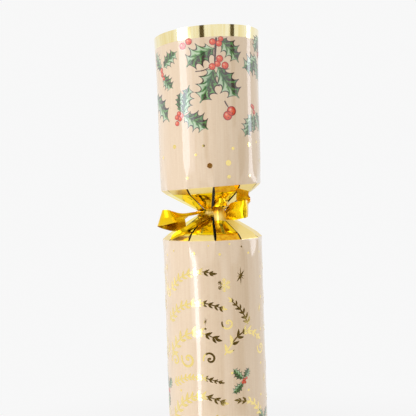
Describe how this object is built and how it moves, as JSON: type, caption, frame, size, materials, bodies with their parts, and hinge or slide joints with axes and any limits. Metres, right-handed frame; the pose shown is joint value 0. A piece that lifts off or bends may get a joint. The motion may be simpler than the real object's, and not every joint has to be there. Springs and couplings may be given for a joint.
{
  "type": "christmas cracker",
  "caption": "Pull-apart party cracker: a card tube pinched into two tabbed necks, each tied with a foil ribbon bow, with a snap, a paper crown, a rolled slip and a small gift inside.",
  "frame": {"origin": "centre of the bottom of the bounding box, at the lower rim on the tube's axis", "axes": "+Z along the tube's axis towards the upper handle, -Y towards the side with the bows"},
  "size_m": [0.0498, 0.0457, 0.3],
  "materials": {
    "printed_card": "gloss-laminated printed card with a fine grain, foil on its tabs",
    "gold_foil_ribbon": "bright metallised film, creased",
    "grey_board": "uncoated grey board",
    "abrasive": "gritty coat",
    "snap_charge": "thin silvery coat",
    "kraft_paper": "plain brown paper",
    "hot_glue": "cloudy set glue",
    "green_tissue": "tissue paper",
    "rubber": "matt",
    "white_paper": "plain paper",
    "red_lacquered_wood": "glossy lacquer",
    "bare_wood": "bare turned wood"
  },
  "bodies": {
    "barrel": {"barrel_wrap": "printed_card", "upper_ribbon": "gold_foil_ribbon", "lower_ribbon": "gold_foil_ribbon", "paper_crown": "green_tissue", "crown_band": "rubber", "motto_slip": "white_paper", "gift_top_body": "red_lacquered_wood", "gift_top_spindle": "bare_wood"},
    "upper_handle": {"upper_handle_wrap": "printed_card", "snap_upper_strip": "grey_board", "snap_abrasive_coat": "abrasive", "upper_glue_dab": "hot_glue"},
    "lower_handle": {"lower_handle_wrap": "printed_card", "snap_lower_strip": "grey_board", "snap_charge_coat": "snap_charge", "snap_sleeve": "kraft_paper", "lower_glue_dab": "hot_glue"}
  },
  "joints": [
    {"name": "upper_pull", "type": "slide", "parent": "barrel", "child": "upper_handle", "axis": [0, 0, 1], "range_m": [0, 0.1]},
    {"name": "lower_pull", "type": "slide", "parent": "barrel", "child": "lower_handle", "axis": [0, 0, -1], "range_m": [0, 0.1]}
  ]
}
